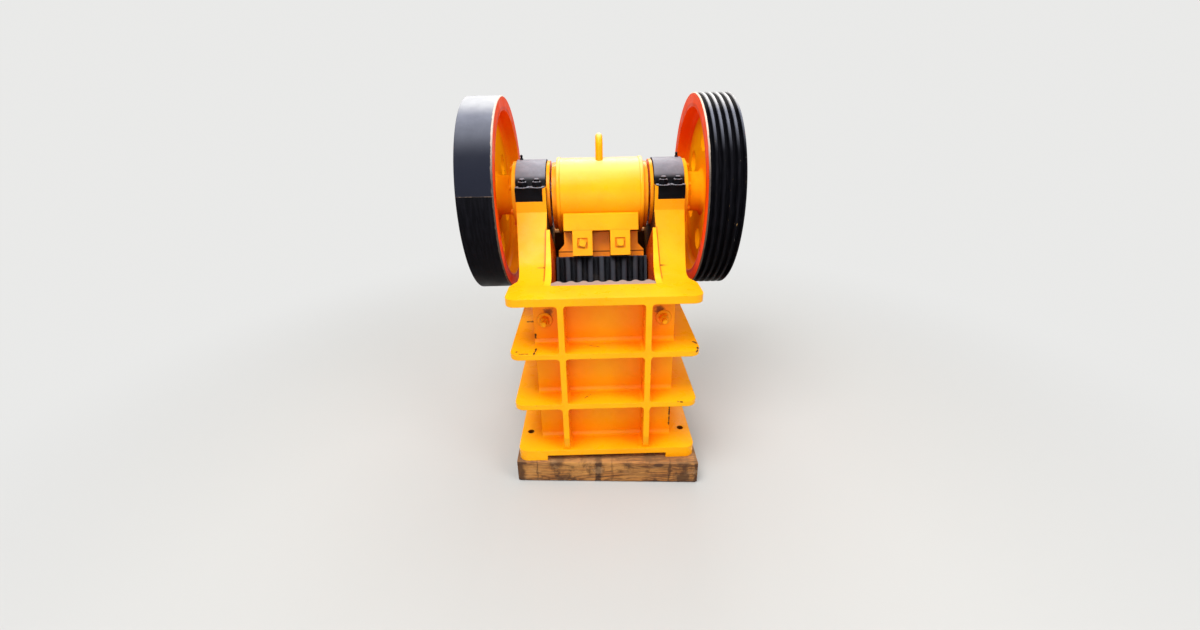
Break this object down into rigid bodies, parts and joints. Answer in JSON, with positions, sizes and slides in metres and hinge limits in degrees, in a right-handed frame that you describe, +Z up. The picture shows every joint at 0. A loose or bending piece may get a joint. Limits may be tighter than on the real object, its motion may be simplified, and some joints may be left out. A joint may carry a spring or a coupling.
{
  "type": "jaw crusher",
  "caption": "Single toggle jaw crusher with ribbed steel frame, toothed jaws, eccentric shaft and two flywheels, on timber bearers.",
  "frame": {"origin": "middle of the footprint, on the ground under the timber bearers", "axes": "+X to the right seen from the feed front, +Y away from the feed front towards the toggle end, +Z up"},
  "size_m": [1.142, 1.1432, 1.52],
  "materials": {
    "timber": "sawn, weathered",
    "frame_paint": "gloss enamel",
    "cheek_paint": "gloss enamel on cast steel",
    "jaw_iron": "manganese steel, dipped black",
    "black_paint": "gloss black enamel",
    "cover_paint": "gloss enamel",
    "wheel_paint": "gloss enamel",
    "rim_paint": "gloss black treads, red-orange sides",
    "jaw_paint": "gloss enamel",
    "toggle_iron": "as cast",
    "spring_steel": "black",
    "shaft_steel": "turned",
    "bright_steel": "machined"
  },
  "bodies": {
    "frame": {"timber_front": "timber", "timber_rear": "timber", "base_flange": "frame_paint", "front_frame": "frame_paint", "side_frame_left": "frame_paint", "side_frame_right": "frame_paint", "side_ribs_left": "frame_paint", "side_ribs_right": "frame_paint", "rear_frame": "frame_paint", "toggle_guides": "frame_paint", "cheek_plate_left": "cheek_paint", "cheek_plate_right": "cheek_paint", "fixed_jaw_plate": "jaw_iron", "fixed_jaw_ledge": "frame_paint", "bearing_cap_left": "black_paint", "bearing_cap_right": "black_paint", "outer_cover_left": "cover_paint", "outer_cover_right": "cover_paint", "inner_cover_left": "cover_paint", "inner_cover_right": "cover_paint", "main_bearing_left": "bright_steel", "main_bearing_right": "bright_steel", "toggle_plate": "toggle_iron", "toggle_block": "toggle_iron", "shim_pack": "bright_steel", "tension_rod": "bright_steel", "tension_spring": "spring_steel"},
    "rotor": {"eccentric_shaft": "shaft_steel", "plain_flywheel": "wheel_paint", "plain_flywheel_rim": "rim_paint", "grooved_flywheel": "wheel_paint", "grooved_flywheel_rim": "rim_paint", "hub_ring_left": "cover_paint", "hub_ring_right": "cover_paint"},
    "swing_jaw": {"swing_jaw": "jaw_paint", "pitman_bearing_left": "bright_steel", "pitman_bearing_right": "bright_steel", "barrel_cover_left": "cover_paint", "barrel_cover_right": "cover_paint", "moving_jaw_plate": "jaw_iron", "clamp_bar": "jaw_paint", "clamp_lug_left": "jaw_paint", "clamp_lug_right": "jaw_paint", "lifting_eye": "jaw_paint"}
  },
  "joints": [
    {"name": "shaft_spin", "type": "hinge", "parent": "frame", "child": "rotor", "pos_m": [0, 0.12439, 1.101], "axis": [1, 0, 0], "continuous": true},
    {"name": "jaw_orbit", "type": "hinge", "parent": "rotor", "child": "swing_jaw", "pos_m": [0, 0.12439, 1.091], "axis": [1, 0, 0], "continuous": true}
  ],
  "couplings": [
    {"joint": "jaw_orbit", "follows": "shaft_spin", "ratio": -1}
  ]
}
